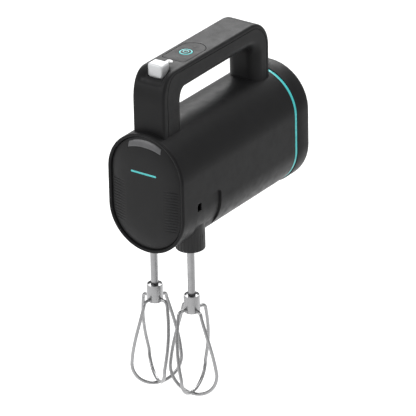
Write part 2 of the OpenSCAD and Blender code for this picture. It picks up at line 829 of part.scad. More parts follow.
// One closed loop: down one half, through the bottom, and up the other
function loop_points(x, a, hand, low) =
    let (h = half_loop(low), n = len(h))
    concat(
        [for (p = h) let (b = a + hand * wire_turn(p[1])) [x + p[0] * cos(b), beater_y + p[0] * sin(b), p[1]]],
        [[x, beater_y, low]],
        [for (i = [n - 1:-1:0]) let (p = h[i], b = a + 180 + hand * wire_turn(p[1]))
            [x + p[0] * cos(b), beater_y + p[0] * sin(b), p[1]]]
    );

// A beater's two loops cross at the bottom, one below the other.
// belly_a is the angle of the first loop's widest point, seen from above.
module wire_loops(x, belly_a, hand) {
    low = cage_z0 + wire_d / 2;
    for (i = [0, 1]) {
        a = belly_a - hand * wire_twist + 90 * i;
        n = [-sin(belly_a + 90 * i), cos(belly_a + 90 * i), 0.02];
        color(silver) at_front() tube(loop_points(x, a, hand, low + i * (wire_d + 0.2)), wire_d, n);
    }
}

module left_wire_loops() { wire_loops(-spacing / 2, 53, -1); }
module right_wire_loops() { wire_loops(spacing / 2, 8, 1); }

// ---------------------------------------------------------------- ejector

module eject_lever() {
    color(silver) at_front() {
        difference() {
            union() {
                prism_y(lever_y0, lever_y1) soft_rect(lever_w, lever_z0, lever_z1, 3, 2.5);
                block(-4, 4, lever_y0 + 2, lever_y1 - 1, lever_z0 - 6, lever_z0 + 4);
            }
            rod_z(0, eject_y, 0, lever_z0 - 2, rod_r);
        }
    }
}

module lever_mark() {
    color("white") at_front() translate([0, rocker_y0 - 4.8, handle_top]) rotate(35) difference() {
        linear_extrude(0.15) {
            square([6, 3.8], center = true);
            translate([0, 1.9]) circle(r = 2.2);
        }
        translate([0, 0.6, -1]) cylinder(r = 0.9, h = 3);
    }
}

module ejector_rod() {
    color(steel) at_front() rod_z(0, eject_y, cover_z0 + 0.5, lever_z0 - 2, rod_r);
}

module ejector_plate() {
    color(dark) at_front() difference() {
        union() {
            block(-25, 25, beater_y - 6, beater_y + 6, plate_z0, plate_z1);
            block(-8, 8, eject_y - 6, beater_y - 5, plate_z0, plate_z1);
            for (s = [-1, 1]) rod_z(s * spacing / 2, beater_y, stem_top + 0.3, plate_z1, 2.5);
        }
        rod_z(0, eject_y, 0, far, rod_r);
    }
}

module ejector_spring() {
    turns = 4;
    wire = 0.7;
    h = plate_z0 - cover_z1 - wire - 0.2;
    points = [for (a = [0:30:360 * turns]) [(rod_r + 1.6) * cos(a), eject_y + (rod_r + 1.6) * sin(a),
        cover_z1 + 0.1 + wire / 2 + h * a / (360 * turns)]];
    color(steel) at_front() tube(points, wire, [0, 0, 1], 6);
}

// ---------------------------------------------------------------- controls

module speed_rocker() {
    color(black) at_front() difference() {
        union() {
            translate([0, 0, handle_top - rocker_t]) linear_extrude(rocker_t) rocker_plan();
            both_sides() block(ring_r + free_gap + 0.2, rocker_w / 2, button_y - 2, button_y + 2,
                handle_top - rocker_t - 3, handle_top - rocker_t + 0.1);
            for (y = [-13, 15]) rod_z(0, button_y + y, board_z + 3.9, handle_top - 1, 2);
        }
        rod_z(0, button_y, 0, far, ring_r + free_gap);
        rocker_pin_bore(fit_gap);
    }
}

module rocker_marks() {
    color("white") at_front() translate([0, 0, handle_top]) {
        translate([-1.5, button_y - 13.3, 0]) cube([3, 0.6, 0.12]);
        translate([-1.5, button_y + 12, 0]) cube([3, 0.6, 0.12]);
        translate([-0.3, button_y + 10.8, 0]) cube([0.6, 3, 0.12]);
    }
}

module rocker_pin_bore(g) {
    translate([-lug_x1 - g, button_y, rocker_pin_z]) rotate([0, 90, 0])
        cylinder(r = pin_r + g, h = 2 * lug_x1 + 2 * g);
}

// Two half pins, from the light ring's wall to the lugs under the cover
module rocker_pins() {
    color(steel) at_front() both_sides() translate([ring_r, button_y, rocker_pin_z])
        rotate([0, 90, 0]) cylinder(r = pin_r, h = lug_x1 - ring_r);
}

module power_button() {
    z0 = board_z + 3.9;
    color(dark) at_front() {
        rod_z(0, button_y, handle_top - 3, handle_top + 0.3, button_r);
        rod_z(0, button_y, z0, handle_top - 3, 1.6);
    }
}

module power_glyph() {
    color(teal) at_front() translate([0, button_y, handle_top + 0.3]) {
        difference() {
            cylinder(r = 2.6, h = 0.12);
            translate([0, 0, -1]) cylinder(r = 2, h = 3);
            translate([-1, 0, -1]) cube([2, 4, 3]);
        }
        translate([-0.3, 0.6, 0]) cube([0.6, 2.4, 0.12]);
    }
}

module button_spring() {
    turns = 3;
    wire = 0.5;
    z0 = board_z + 1.6 + 0.4;
    h = handle_top - 3 - z0 - 0.4;
    points = [for (a = [0:30:360 * turns]) [3.2 * cos(a), button_y + 3.2 * sin(a), z0 + h * a / (360 * turns)]];
    color(steel) at_front() tube(points, wire, [0, 0, 1], 6);
}

module light_ring() {
    color(teal) at_front() difference() {
        rod_z(0, button_y, board_z + 1.6, handle_top + 0.15, ring_r);
        rod_z(0, button_y, 0, far, button_r + seat_gap);
    }
}

module control_board() {
    color(board_green) at_front() difference() {
        block(-10, 10, button_y - 26, button_y + 52, board_z, board_z + 1.6);
        for (y = [button_y - 22, button_y + 26]) rod_z(0, y, 0, far, 1.2);
    }
}

module button_switches() {
    color(silver) at_front() for (y = [-13, 0, 15]) {
        translate([0, button_y + y, board_z + 1.6]) {
            translate([-2, -2, 0]) cube([4, 4, 1.2]);
            cylinder(r = 0.9, h = 1.5);
        }
    }
}

// ---------------------------------------------------------------- battery

module battery_cells() {
    color([0.2, 0.4, 0.7]) at_front() for (x = [-1, 1], z = [-1, 1])
        rod_y(x * cell_pitch / 2, z * cell_pitch / 2, cell_y0, cell_y0 + cell_len, cell_d / 2);
}

module battery_holder() {
    color(dark) at_front() difference() {
        for (y = [cell_y0 - 2, cell_y0 + cell_len - 4]) prism_y(y, y + 6) difference() {
            stadium(inner_w - 2 * seat_gap, inner_h - 2 * seat_gap);
            translate([-far, 26]) square(2 * far);
            translate([-far, -26 - 2 * far]) square(2 * far);
        }
        battery_pocket();
    }
}

module battery_pocket() {
    for (x = [-1, 1], z = [-1, 1]) rod_y(x * cell_pitch / 2, z * cell_pitch / 2,
        cell_y0, cell_y0 + cell_len, cell_d / 2 + seat_gap);
    block(-cell_pitch / 2 - 4, cell_pitch / 2 + 4, 0, far, -cell_pitch / 2 - 3, cell_pitch / 2 + 3);
}

module battery_straps() {
    color(silver) at_front() for (z = [-1, 1], y = [cell_y0 - 0.4, cell_y0 + cell_len])
        block(-cell_pitch / 2 - 3, cell_pitch / 2 + 3, y, y + 0.4,
            z * cell_pitch / 2 - 2, z * cell_pitch / 2 + 2);
}

module wire_harness() {
    y = handle_y1 - rear_leg / 2;
    points = [[0, button_y + 52, board_z + 3.2], [0, y - 14, board_z + 2], [0, y - 5, board_z - 2],
        [0, y, board_z - 12], [0, y, board_z - 30], [0, y, 48], [0, y, 36], [0, y + 3, 26], [0, y + 6, 14]];
    color("firebrick") at_front() tube(points, 3, [1, 0, 0]);
}

// ---------------------------------------------------------------- assembly

body_shell();
front_bezel();
front_panel();
indicator_lens();
panel_accent();
indicator_board();
accent_ring();
rear_cap();
cap_screws();
charging_socket();
charging_board();
left_turret();
right_turret();
gearbox_base();
gearbox_cover();
gearbox_screws();
lower_bushes();
upper_bushes();
worm_bush();
handle_cover();
handle_shell();
handle_screws();
speed_rocker();
rocker_marks();
rocker_pins();
power_button();
power_glyph();
button_spring();
light_ring();
control_board();
button_switches();
eject_lever();
lever_mark();
ejector_rod();
ejector_plate();
ejector_spring();
motor_can();
motor_magnets();
motor_end_cap();
motor_bushes();
motor_shaft();
rotor_core();
commutator();
worm();
left_spindle();
right_spindle();
left_worm_wheel();
right_worm_wheel();
left_stem();
right_stem();
left_collar();
right_collar();
left_wire_loops();
right_wire_loops();
battery_cells();
battery_holder();
battery_straps();
wire_harness();
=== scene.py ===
"""Looks of a cordless hand mixer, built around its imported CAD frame."""

import math

import bmesh
import bpy
import numpy as np
from mathutils import Matrix, Vector


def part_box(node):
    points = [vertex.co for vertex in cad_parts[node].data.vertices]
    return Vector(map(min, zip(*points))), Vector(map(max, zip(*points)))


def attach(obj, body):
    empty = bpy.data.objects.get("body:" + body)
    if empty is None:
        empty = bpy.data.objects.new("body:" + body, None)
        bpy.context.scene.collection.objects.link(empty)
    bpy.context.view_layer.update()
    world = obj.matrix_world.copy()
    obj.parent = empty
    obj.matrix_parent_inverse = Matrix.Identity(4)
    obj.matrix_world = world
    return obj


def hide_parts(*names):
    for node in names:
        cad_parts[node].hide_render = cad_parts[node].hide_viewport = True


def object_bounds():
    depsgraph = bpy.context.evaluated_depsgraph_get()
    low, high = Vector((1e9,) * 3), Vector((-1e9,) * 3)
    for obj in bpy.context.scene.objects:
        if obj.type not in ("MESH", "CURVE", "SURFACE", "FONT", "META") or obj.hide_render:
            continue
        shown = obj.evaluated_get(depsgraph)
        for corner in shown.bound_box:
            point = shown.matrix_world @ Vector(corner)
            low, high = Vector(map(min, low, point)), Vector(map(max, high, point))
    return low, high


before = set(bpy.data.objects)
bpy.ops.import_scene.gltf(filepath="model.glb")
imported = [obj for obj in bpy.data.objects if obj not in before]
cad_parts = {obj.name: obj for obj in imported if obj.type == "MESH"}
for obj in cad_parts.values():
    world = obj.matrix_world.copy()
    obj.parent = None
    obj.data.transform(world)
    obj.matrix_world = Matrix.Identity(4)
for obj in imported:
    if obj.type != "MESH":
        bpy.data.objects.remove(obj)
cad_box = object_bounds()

# ---------------------------------------------------------------- sizes
# Lengths below are millimetres in the mixer's front frame: x across, y rearwards
# from the front plane, z up from the axis of the body. place() turns them into metres.

MM = 0.001


def size(node):
    """(lowest corner, highest corner) of a CAD node in the front frame."""
    lo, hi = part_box(node)
    return (np.array(lo) - ORIGIN) / MM, (np.array(hi) - ORIGIN) / MM


_shell_lo, _shell_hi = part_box("body_shell")
ORIGIN = np.array([0.0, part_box("front_bezel")[0].y, (_shell_lo.z + _shell_hi.z) / 2])

_, BEZEL_HI = size("front_bezel")
SLEEVE_LO, SLEEVE_HI = size("body_shell")
RING_LO, RING_HI = size("accent_ring")
CAP_LO, CAP_HI = size("rear_cap")
_, PANEL_HI = size("front_panel")
COVER_LO, COVER_HI = size("handle_cover")
_, LENS_HI = size("indicator_lens")
DASH_LO, DASH_HI = size("panel_accent")
ROCKER_LO, ROCKER_HI = size("speed_rocker")
BUTTON_LO, BUTTON_HI = size("power_button")
LIGHT_LO, LIGHT_HI = size("light_ring")
LEVER_LO, LEVER_HI = size("eject_lever")

BODY_R = SLEEVE_HI[0]                       # radius of the body's round ends
ARC_Z = SLEEVE_HI[2] - BODY_R               # height of their centres
WALL = 3.0
PANEL_R = PANEL_HI[0]
PANEL_PROUD = 2.0                           # the middle stands ahead of the front plane
PANEL_SET = 2.0                             # the edge lies behind it
HANDLE_W = COVER_HI[0] - COVER_LO[0]
HANDLE_Y0 = COVER_LO[1]
HANDLE_Y1 = COVER_HI[1]
HANDLE_TOP = COVER_HI[2]
BAR_T = 21.6
FRONT_LEG = 27.0
REAR_LEG = 21.0
FRONT_CORNER = 17.5
REAR_CORNER = 25.5
WINDOW_R = 9.0
HANDLE_WALL = 2.4
COVER_DEPTH = 4.0
EDGE_R = 2.2                                # rounding of the handle's outer edges
LIP = 1.4                                   # thickness of the bezel's flange
GAP = 0.4                                   # around the eject lever
SCOOP_Y0, SCOOP_Y1 = 21.5, 56.0             # the scoop in each lower flank, along y
SCOOP_TOP = -7.0                            # height of its upper edge
WIRE_D = 3.0
CAGE_R = 23.96                              # just inside the outline of the CAD cage
BELLY_RISE = 24.0                           # from the cage's foot to its widest point
SHOULDER_R = 14.0
WIRE_TWIST = 29.0                           # degrees, from shoulder to belly


def place(points):
    """Front frame millimetres to metres in the CAD's frame."""
    return np.asarray(points, float) * MM + ORIGIN


# ---------------------------------------------------------------- meshes


def piece(name, points, faces, material, body, slot, nodes=(), weld=0.0, smooth=32):
    """A new mesh from points in the front frame, riding on a body."""
    mesh = bpy.data.meshes.new(name)
    mesh.from_pydata(place(points).tolist(), [], faces)
    obj = bpy.data.objects.new(name, mesh)
    bpy.context.scene.collection.objects.link(obj)
    tidy(obj, weld)
    return dress(obj, material, body, nodes, smooth)


def tidy(obj, weld=0.0):
    """Joins points that coincide and turns every face outwards."""
    work = bmesh.new()
    work.from_mesh(obj.data)
    bmesh.ops.remove_doubles(work, verts=work.verts, dist=max(weld, 1e-4) * MM)
    bmesh.ops.recalc_face_normals(work, faces=work.faces)
    work.to_mesh(obj.data)
    work.free()


def dress(obj, material, body, nodes=(), smooth=32):
    """Gives an object its finish, its body and the CAD nodes that it stands for."""
    obj.data.materials.clear()
    obj.data.materials.append(material)
    soften(obj, smooth)
    if body:
        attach(obj, body)
    if nodes:
        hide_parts(*nodes)
    return obj


def soften(obj, smooth):
    """Smooth shading, with edges sharper than an angle kept crisp."""
    obj.data.shade_smooth()
    obj.data.set_sharp_from_angle(angle=math.radians(smooth))


def settle(obj):
    """Applies the object's modifiers to its mesh."""
    bpy.context.view_layer.update()
    graph = bpy.context.evaluated_depsgraph_get()
    old = obj.data
    obj.data = bpy.data.meshes.new_from_object(obj.evaluated_get(graph))
    obj.modifiers.clear()
    bpy.data.meshes.remove(old)


def cut(obj, tool, smooth=32, operation="DIFFERENCE"):
    """Cuts a tool away from an object, and removes the tool."""
    knife = obj.modifiers.new("cut", "BOOLEAN")
    knife.object = tool
    knife.operation = operation
    knife.solver = "EXACT"
    settle(obj)
    bpy.data.objects.remove(tool)
    soften(obj, smooth)


def bevel(obj, width, segments=3, angle=45, smooth=32):
    """Rounds the edges of an object that are sharper than an angle."""
    edge = obj.modifiers.new("edge", "BEVEL")
    edge.width = width * MM
    edge.segments = segments
    edge.limit_method = "ANGLE"
    edge.angle_limit = math.radians(angle)
    edge.harden_normals = False
    settle(obj)
    soften(obj, smooth)


def loft(rings, caps=True, wrap=True, close=False):
    """Points and faces of a surface through rings with the same number of points."""
    rings = np.asarray(rings, float)
    n, m = rings.shape[:2]
    faces = []
    for i in range(n if close else n - 1):
        j = (i + 1) % n
        for k in range(m if wrap else m - 1):
            k2 = (k + 1) % m
            faces.append((i * m + k, i * m + k2, j * m + k2, j * m + k))
    if caps and not close:
        faces.append(tuple(range(m))[::-1])
        faces.append(tuple((n - 1) * m + k for k in range(m)))
    return rings.reshape(-1, 3), faces


def prism(outline, lo, hi, axis):
    """A straight prism from a flat outline, along axis 1 (y) or 2 (z)."""
    outline = np.asarray(outline, float)
    rings = []
    for level in (lo, hi):
        ring = np.zeros((len(outline), 3))
        ring[:, 0] = outline[:, 0]
        ring[:, 3 - axis] = outline[:, 1]
        ring[:, axis] = level
        rings.append(ring)
    return loft(rings)


def tool(points, faces):
    """A cutting tool: an object that cut() uses up."""
    return piece("tool", points, faces, None, None, None)


def arc(cx, cy, r, a0, a1, n):
    """Points along a circle, angles in degrees."""
    a = np.radians(np.linspace(a0, a1, n + 1))
    return np.stack([cx + r * np.cos(a), cy + r * np.sin(a)], 1)


def ease(t):
    """Smooth step from 0 to 1."""
    t = np.clip(t, 0, 1)
    return t * t * (3 - 2 * t)


# ---------------------------------------------------------------- shapes around the body


class Rim:
    """Directions around the upright outline with round ends, shared by all its rings."""

    def __init__(self, top, side, bottom):
        a_top = np.linspace(0, math.pi, top + 1)
        a_low = np.linspace(math.pi, 2 * math.pi, bottom + 1)
        left = np.linspace(ARC_Z, -ARC_Z, side + 1)[1:-1]
        right = -left
        self.dx = np.concatenate([np.cos(a_top), -np.ones(len(left)), np.cos(a_low), np.ones(len(right))])
        self.dz = np.concatenate([np.sin(a_top), 0 * left, np.sin(a_low), 0 * right])
        self.bz = np.concatenate([0 * a_top + ARC_Z, left, 0 * a_low - ARC_Z, right])

    def ring(self, r, y):
        """The outline at a distance r from the body's middle plane, at depth y."""
        r = r + 0 * self.dx
        return np.stack([r * self.dx, y + 0 * self.dx, self.bz + r * self.dz], 1)


def scoop_depth(ring, y):
    """How deep the lower flank is scooped at each point of a ring."""
    corner = 4.0
    half_y = (SCOOP_Y1 - SCOOP_Y0) / 2
    mid_y = (SCOOP_Y1 + SCOOP_Y0) / 2
    half_z = 22.0
    mid_z = SCOOP_TOP - half_z
    qy = abs(y - mid_y) - half_y + corner
    qz = np.abs(ring[:, 2] - mid_z) - half_z + corner
    outside = np.hypot(np.maximum(qy, 0), np.maximum(qz, 0))
    d = outside + np.minimum(np.maximum(qy, qz), 0) - corner
    low = ease((ring[:, 2] + 45) / 10)
    return 1.7 * ease(-d / 0.55) * low


def sleeve(material):
    """The body's sleeve, with a scoop and an air slot in each lower flank."""
    rim = Rim(72, 64, 150)
    y0, y1 = SLEEVE_LO[1], SLEEVE_HI[1]
    fine = np.arange(19.0, 60.0, 0.45)
    coarse = np.arange(64.0, y1 - 1, 8.0)
    stations = np.concatenate([[y0 + 0.55, y0 + 1.2, 6, 10, 14, 17], fine, coarse, [y1 - 0.8, y1 - 0.35]])
    rings = [rim.ring(BODY_R - 0.5, y0 + 0.05), rim.ring(BODY_R - 0.15, y0 + 0.2)]
    for y in stations:
        ring = rim.ring(BODY_R, y)
        rings.append(rim.ring(BODY_R - scoop_depth(ring, y), y))
    rings += [rim.ring(BODY_R - 0.12, y1 - 0.1), rim.ring(BODY_R - 0.4, y1)]
    rings += [rim.ring(BODY_R - WALL, y1), rim.ring(BODY_R - WALL, 62), rim.ring(BODY_R - WALL, 16)]
    rings += [rim.ring(BODY_R - WALL, 7), rim.ring(BODY_R - 1.5, 7), rim.ring(BODY_R - 1.5, y0 + 0.05)]
    obj = piece("body_sleeve", *loft(rings, close=True), material, "housing", "body_black", ["body_shell"])
    for s in (-1, 1):
        corners = [(s * 30, 21.5), (s * 45, 21.5), (s * 45, 29.2), (s * 30, 29.2)]
        points, faces = prism(corners, -17, -10, 2)
        cut(obj, tool(points, faces))
    return obj


def bezel(material):
    """The ring around the front panel, with a rounded outer edge and a fine inner step."""
    rim = Rim(96, 24, 96)
    y1 = BEZEL_HI[1]
    r = BODY_R
    inner = PANEL_R + 0.1
    edge = 0.9
    profile = [(inner, y1 - 0.1), (inner, 2.6), (inner + 0.15, 1.7), (inner + 0.4, 0.9), (inner + 0.75, 0.4)]
    profile += [(inner + 1.2, 0.12), (r - edge - 0.4, 0.0)]
    turns = np.radians(range(10, 91, 10))
    profile += [(r - edge + edge * math.sin(a), edge - edge * math.cos(a)) for a in turns]
    profile += [(r - 0.05, LIP - 0.45), (r - 0.3, LIP - 0.35), (r - 1.7, LIP - 0.35), (r - 1.7, y1 - 0.1)]
    rings = [rim.ring(a, b) for a, b in profile]
    return piece("bezel_ring", *loft(rings, close=True), material, "housing", "body_black", ["front_bezel"])


def dome(x, z):
    """Depth of the pillow-shaped front panel at a point."""
    edge = np.hypot(x, np.maximum(np.abs(z) - ARC_Z, 0)) / PANEL_R
    return -PANEL_PROUD + (PANEL_SET + PANEL_PROUD) * np.clip(edge, 0, 1) ** 4


def groove(x, z):
    """Depth of the grip grooves on the panel's flanks."""
    count, pitch, first = 15, 2.6, 8.0
    k = np.clip(np.round((first - z) / pitch), 0, count - 1)
    across = np.clip(np.abs(z - (first - k * pitch)) / 0.75, 0, 1)
    from_edge = PANEL_R - 1.2 - np.hypot(x, np.maximum(np.abs(z) - ARC_Z, 0))
    fade = ease((np.abs(x) - 18) / 9) * ease(from_edge / 1.5)
    return 0.55 * (0.5 + 0.5 * np.cos(math.pi * across)) * fade


def lens_outline(g=0.0, n=24):
    """The crescent between two arcs: upper circle, lower circle, straight sides."""
    half = LENS_HI[0] + g
    top_r = PANEL_R - 2.2 + g
    low_r = 44 - g
    low_c = ARC_Z + PANEL_R - 2.2 - 6 - 44
    x = np.linspace(-half, half, n + 1)
    top = ARC_Z + np.sqrt(top_r**2 - x**2)
    low = low_c + np.sqrt(low_r**2 - x**2)
    return x, low, top


def dash_outline(g=0.0, n=16):
    """A slim mark with round ends."""
    mid = (DASH_LO[2] + DASH_HI[2]) / 2
    half = DASH_HI[0] + g
    h = 0.9 + g
    x = np.concatenate([-half + h * (1 - np.cos(np.linspace(0, math.pi / 2, 7))),
                        np.linspace(-half + h, half - h, n)[1:-1],
                        half - h * (1 - np.cos(np.linspace(math.pi / 2, 0, 7)))])
    rise = np.sqrt(np.maximum(h**2 - np.maximum(np.abs(x) - (half - h), 0) ** 2, 0))
    rise = np.maximum(rise, 0.05)
    return x, mid - rise, mid + rise


def outline_prism(outline, y0, y1):
    """A cutting prism along y from an outline given as columns of low and high points."""
    x, low, top = outline
    loop = np.concatenate([np.stack([x, low], 1), np.stack([x, top], 1)[::-1]])
    return prism(loop, y0, y1, 1)


def inlay(name, outline, lift, material, slot, node):
    """A thin piece that fills an outline and follows the panel's dome."""
    x, low, top = outline
    rows = 8
    rings = []
    for i in range(len(x)):
        z = np.linspace(low[i], top[i], rows + 1)
        front = np.stack([0 * z + x[i], dome(x[i], z) - lift, z], 1)
        soft = np.array([0.18, 0.04] + [0] * (rows - 3) + [0.04, 0.18])
        front[:, 1] += soft
        back = np.stack([0 * z + x[i], dome(x[i], z) + 1.9, z], 1)[::-1]
        rings.append(np.concatenate([front, back]))
    return piece(name, *loft(rings), material, "housing", slot, [node], smooth=50)


def panel(material):
    """The domed front panel, with grooves, a lens window and a mark."""
    rim = Rim(90, 130, 420)
    radii = np.concatenate([[0], np.linspace(2, 16, 8), np.linspace(17, PANEL_R - 2, 30)])
    radii = np.concatenate([radii, PANEL_R - np.array([1.4, 0.9, 0.5, 0.2])])
    rings = []
    for r in radii:
        ring = rim.ring(r, 0)
        x, z = ring[:, 0], ring[:, 2]
        ring[:, 1] = dome(x, z) + groove(x, z)
        rings.append(ring)
    rings.append(rim.ring(PANEL_R - 0.03, PANEL_SET + 0.1))
    rings.append(rim.ring(PANEL_R, PANEL_SET + 0.35))
    rings.append(rim.ring(PANEL_R, BEZEL_HI[1] - 0.1))
    for r in (PANEL_R - 2, PANEL_R - 2.5, 28, 20, 10, 0):
        ring = rim.ring(r, 0)
        ring[:, 1] = dome(ring[:, 0], ring[:, 2]) + 2.2
        if r == PANEL_R - 2:
            ring[:, 1] = BEZEL_HI[1] - 0.1
        rings.append(ring)
    obj = piece("panel_face", *loft(rings, caps=False), material, "housing", "panel_black", ["front_panel"])
    cut(obj, tool(*outline_prism(lens_outline(0.3), -9, 12)))
    cut(obj, tool(*outline_prism(dash_outline(0.08), -9, 12)))
    return obj


def accent_band(material):
    """The thin ring between the sleeve and the rear cap."""
    rim = Rim(96, 8, 96)
    y0, y1 = RING_LO[1], RING_HI[1]
    r = BODY_R
    profile = [(r - WALL, y0 + 0.05), (r - 0.5, y0 + 0.05), (r - 0.12, y0 + 0.2), (r, y0 + 0.6)]
    profile += [(r, y1 - 0.5), (r - 0.12, y1 - 0.15), (r - 0.5, y1), (r - WALL, y1)]
    rings = [rim.ring(a, b) for a, b in profile]
    return piece("accent_band", *loft(rings, close=True), material, "housing", "accent_teal", ["accent_ring"])


def end_cap(material):
    """The rear cap: a cup with a rounded edge, screw wells and a charging port."""
    rim = Rim(96, 24, 96)
    y0, y1 = CAP_LO[1], CAP_HI[1]
    r, e = CAP_HI[0], 7.0
    profile = [(a, y1 - 0.35 * (1 - (a / (r - e)) ** 2)) for a in (0, 8, 16, 24, r - e - 1)]
    profile += [(r - e + e * math.sin(a), y1 - e + e * math.cos(a)) for a in np.radians(range(0, 91, 6))]
    profile += [(r, y1 - e - 4), (r, y0 + 0.9), (r - 0.2, y0 + 0.3), (r - 0.7, y0 + 0.02)]
    inner = BODY_R - WALL
    profile += [(inner, y0 + 0.02), (inner, y1 - e - 3), (inner - 3, y1 - WALL - 0.5)]
    profile += [(20, y1 - WALL), (0, y1 - WALL)]
    rings = [rim.ring(a, b) for a, b in profile]
    obj = piece("end_cap", *loft(rings, caps=False), material, "housing", "body_black", ["rear_cap"])
    for s in (-1, 1):
        cut(obj, tool(*prism(arc(0, s * 36, 1.7, 0, 348.75, 31), y0 + 1, y1 + 1, 1)))
        cut(obj, tool(*prism(arc(0, s * 36, 3.3, 0, 348.75, 31), y1 - 2, y1 + 1, 1)))
    port = np.concatenate([arc(3.1, -22, 2.1, -90, 90, 12), arc(-3.1, -22, 2.1, 90, 270, 12)])
    cut(obj, tool(*prism(port, y0 + 2, y1 + 1, 1)))
    bevel(obj, 0.25, 2, 60)
    return obj


# ---------------------------------------------------------------- handle


def handle_path():
    """Outer and inner side-view points along the handle, from the front leg's foot
    to the rear leg's, with the rounding of the inner edges."""
    foot = ARC_Z + BODY_R - 4.5
    y0, y1, top = HANDLE_Y0, HANDLE_Y1, HANDLE_TOP
    bar = top - BAR_T
    win_y0 = y0 + FRONT_LEG
    win_y1 = y1 - REAR_LEG
    outer, inner, soft, depth = [], [], [], []

    def add(o, i, s, d):
        outer.append(o), inner.append(i), soft.append(s), depth.append(d)

    front_d = COVER_DEPTH + 2.6
    z_out = top - FRONT_CORNER
    z_in = bar - WINDOW_R
    for t in np.linspace(0, 1, 15)[:-1]:
        add((y0, foot + (z_out - 10 - foot) * t), (win_y0, foot + (z_in - 3 - foot) * t), 6.0, front_d)
    for t in np.linspace(0, 1, 33)[:-1]:
        # the outer path runs through the big corner while the inner one runs through the small
        a = math.radians(180 - 90 * t)
        lead = 10 * (1 - t) ** 3
        o = (y0 + FRONT_CORNER + FRONT_CORNER * math.cos(a), z_out + FRONT_CORNER * math.sin(a) - lead)
        i = (win_y0 + WINDOW_R + WINDOW_R * math.cos(a), z_in + WINDOW_R * math.sin(a) - 3 * (1 - t) ** 3)
        mix = float(ease(t))
        add(o, i, 6 + 3 * mix, front_d + (COVER_DEPTH - front_d) * mix)
    ob, oe = y0 + FRONT_CORNER, y1 - REAR_CORNER
    ib, ie = win_y0 + WINDOW_R, win_y1 - WINDOW_R
    for t in np.linspace(0, 1, 41)[:-1]:
        add((ob + (oe - ob) * t, top), (ib + (ie - ib) * t, bar), 9.0, COVER_DEPTH)
    for t in np.linspace(0, 1, 37)[:-1]:
        a = math.radians(90 - 90 * t)
        o = (oe + REAR_CORNER * math.cos(a), top - REAR_CORNER + REAR_CORNER * math.sin(a))
        i = (ie + WINDOW_R * math.cos(a), bar - WINDOW_R + WINDOW_R * math.sin(a))
        add(o, i, 9.0 + 1.4 * float(ease(t)), COVER_DEPTH)
    for t in np.linspace(0, 1, 13):
        add((y1, top - REAR_CORNER - (top - REAR_CORNER - foot) * t),
            (win_y1, bar - WINDOW_R - (bar - WINDOW_R - foot) * t), 10.4, COVER_DEPTH)
    return np.array(outer), np.array(inner), np.array(soft), np.array(depth)


def section_cover(half, d):
    """Half of the cover's cross-section: (x, depth) from the middle out to the parting groove."""
    e = EDGE_R
    out = [(x, 0.0) for x in (0, 2, 4, 6, 7.5, 9, 10.5, 12, 13)]
    out += [(half - e + e * math.sin(a), e - e * math.cos(a)) for a in np.radians(range(0, 91, 9))]
    out += [(half, d - 0.4), (half - 0.12, d - 0.24), (half - 0.6, d - 0.16)]
    w = HANDLE_WALL
    back = [(half - w, d - 0.16), (half - w, w + 1.2), (half - w - 0.4, w + 0.3), (half - w - 1.2, w)]
    back += [(x, w) for x in (9, 6.0, 3, 0.0)]
    return out, back


def section_shell(half, d, length, soft):
    """Half of the shell's cross-section: (x, depth) from the parting groove to the middle."""
    out = [(half - 0.6, d + 0.16), (half - 0.12, d + 0.24), (half, d + 0.4), (half, (d + length - soft) / 2)]
    turns = np.radians(range(0, 91, 6))
    out += [(half - soft + soft * math.cos(a), length - soft + soft * math.sin(a)) for a in turns]
    out += [(x, length) for x in (4.5, 2.5, 0)]
    w = HANDLE_WALL
    back = [(0, length - w), (3, length - w)]
    turns = np.radians(range(90, -1, -30))
    back += [(half - w - 3 + 3 * math.cos(a), length - w - 3 + 3 * math.sin(a)) for a in turns]
    back += [(half - w, d + 2), (half - w, d + 0.16)]
    return out, back


def mirrored(path):
    """A half path from x = 0 outwards, completed with its mirror image: left to right."""
    left = [(-x, d) for x, d in path[::-1] if x > 0]
    return left + list(path)


def dish(points):
    """How far the cover sinks around the lever, so that the lever's sides show."""
    corner_y = HANDLE_Y0 + FRONT_CORNER
    corner_z = HANDLE_TOP - FRONT_CORNER
    turn = np.degrees(np.arctan2(points[:, 2] - corner_z, corner_y - points[:, 1]))
    along = ease((turn - 22) / 30) * ease((LEVER_HI[1] + 1.2 - points[:, 1]) / 9)
    across = ease((13.4 - np.abs(points[:, 0])) / 5)
    return 4.2 * along * across


def handle_rings(kind):
    """Closed cross-sections of the cover or the shell along the handle."""
    outer, inner, soft, depth = handle_path()
    half = HANDLE_W / 2
    rings = []
    for o, i, s, d in zip(outer, inner, soft, depth):
        length = float(np.linalg.norm(i - o))
        axis = (i - o) / length
        if kind == "cover":
            out, back = section_cover(half, d)
            loop = mirrored(out) + mirrored(back[::-1])[::-1]
        else:
            out, back = section_shell(half, d, length, s)
            loop = mirrored(out[::-1]) + mirrored(back)[::-1]
        loop = np.array(loop)
        flat = o + loop[:, 1:2] * axis
        ring = np.stack([loop[:, 0], flat[:, 0], flat[:, 1]], 1)
        if kind == "cover":
            middle = np.array([0, HANDLE_Y0 + FRONT_CORNER, HANDLE_TOP - FRONT_CORNER])
            inward = middle - ring
            inward[:, 0] = 0
            inward[:, 1] = np.maximum(inward[:, 1], 0)
            inward /= np.maximum(np.linalg.norm(inward, axis=1, keepdims=True), 1)
            ring = ring + inward * dish(ring)[:, None]
        rings.append(ring)
    return np.array(rings)


def rocker_outline(g=0.0):
    """Plan of the speed rocker: round behind, soft corners in front."""
    r = ROCKER_HI[0] + g
    y0, y1 = ROCKER_LO[1] - g, ROCKER_HI[1] + g
    c = 3.0 + g
    out = arc(0, y1 - r, r, 0, 180, 40)
    out = np.concatenate([out, arc(-r + c, y0 + c, c, 180, 270, 8), arc(r - c, y0 + c, c, 270, 360, 8)])
    return out


